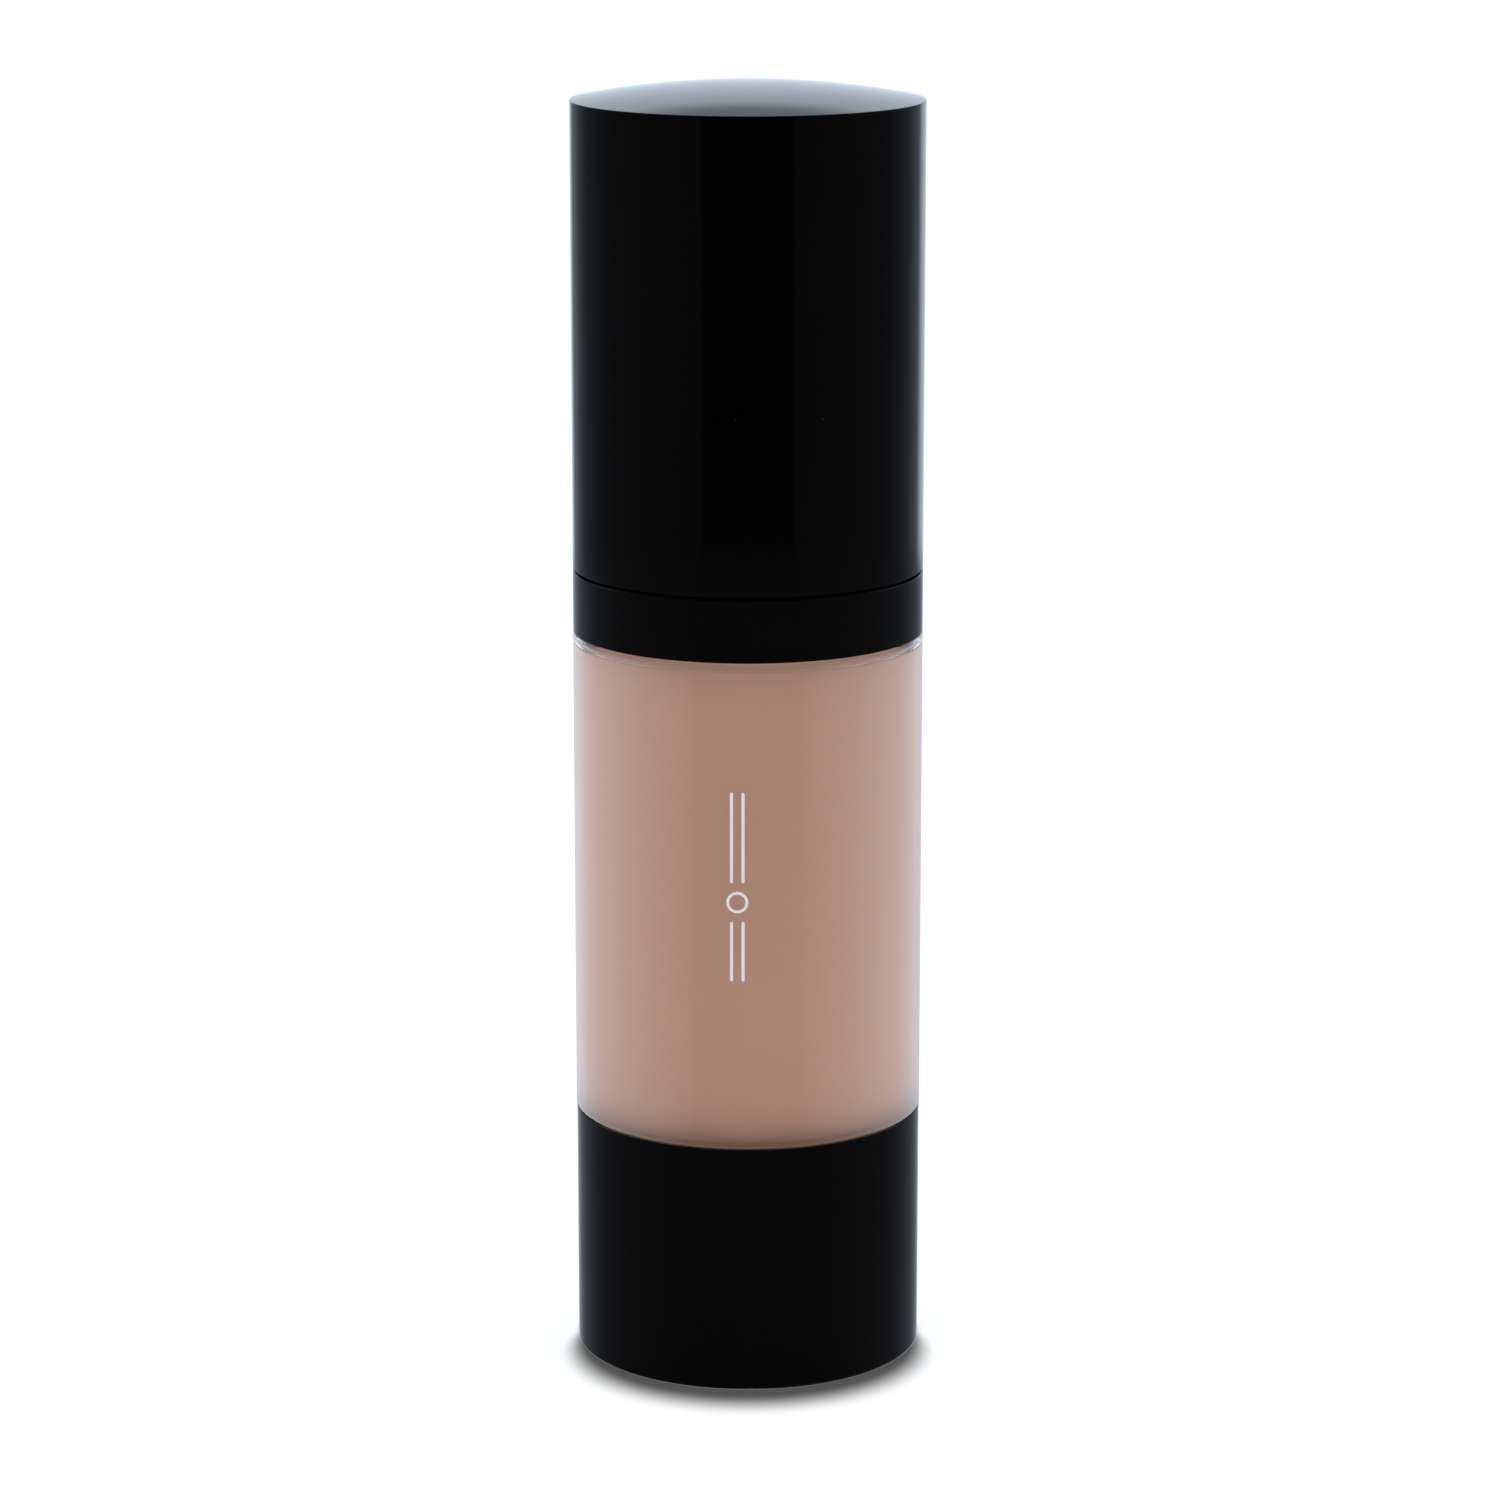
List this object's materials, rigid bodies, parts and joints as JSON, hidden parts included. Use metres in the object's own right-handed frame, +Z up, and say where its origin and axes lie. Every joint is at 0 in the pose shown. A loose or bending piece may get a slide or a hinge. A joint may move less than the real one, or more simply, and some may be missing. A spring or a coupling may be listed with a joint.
{
  "type": "foundation bottle",
  "caption": "Cylindrical airless pump bottle: clear barrel over a rising follower, black base and collar, push button with side spout under a lift-off domed overcap.",
  "frame": {"origin": "centre of the underside of the base cup, on the surface that the bottle stands on", "axes": "+Z up through the overcap; the push button's spout points to -Y, which is the front"},
  "size_m": [0.0342, 0.0342, 0.125],
  "materials": {
    "black_gloss": "high gloss moulded",
    "black_satin": "satin moulded",
    "black_inner": "moulded, unpolished",
    "clear_plastic": "clear, polished",
    "foundation": "thick peach liquid",
    "white_plastic": "moulded",
    "soft_white_plastic": "soft, waxy",
    "natural_plastic": "translucent moulded",
    "gasket": "matt",
    "steel_ball": "polished",
    "spring_steel": "drawn wire"
  },
  "bodies": {
    "bottle": {"base_cup": "black_satin", "bottom_plate": "white_plastic", "barrel": "clear_plastic", "foundation_fill": "foundation", "neck_gasket": "gasket", "pump_housing": "natural_plastic", "return_spring": "spring_steel", "chaplet": "white_plastic", "closure_ring": "black_inner", "collar_sleeve": "black_gloss"},
    "follower": {"follower_piston": "soft_white_plastic"},
    "check_ball": {"inlet_ball": "steel_ball"},
    "stem": {"pump_stem": "white_plastic", "stem_plug": "white_plastic"},
    "sleeve": {"dosing_piston": "soft_white_plastic"},
    "button": {"actuator_core": "black_inner", "actuator_cover": "black_gloss", "nozzle_insert": "black_inner"},
    "overcap": {"overcap_liner": "black_inner", "overcap_shell": "black_gloss"}
  },
  "joints": [
    {"name": "cap_lift", "type": "slide", "parent": "bottle", "child": "overcap", "axis": [0, 0, 1], "range_m": [0, 0.04]},
    {"name": "pump_press", "type": "slide", "parent": "bottle", "child": "stem", "axis": [0, 0, -1], "range_m": [0, 0.004], "stiffness_N_per_m": 900, "springref_m": -0.006, "deforming": ["return_spring"]},
    {"name": "button_turn", "type": "hinge", "parent": "stem", "child": "button", "pos_m": [0, 0, 0.0954], "axis": [0, 0, 1], "continuous": true},
    {"name": "port_slip", "type": "slide", "parent": "stem", "child": "sleeve", "axis": [0, 0, 1], "range_m": [0, 0.00045]},
    {"name": "inlet_lift", "type": "slide", "parent": "bottle", "child": "check_ball", "axis": [0, 0, 1], "range_m": [0, 0.0008]},
    {"name": "follower_rise", "type": "slide", "parent": "bottle", "child": "follower", "axis": [0, 0, 1], "range_m": [0, 0.047], "deforming": ["foundation_fill"]}
  ],
  "couplings": [
    {"joint": "port_slip", "follows": "pump_press", "ratio": 0.1125}
  ]
}
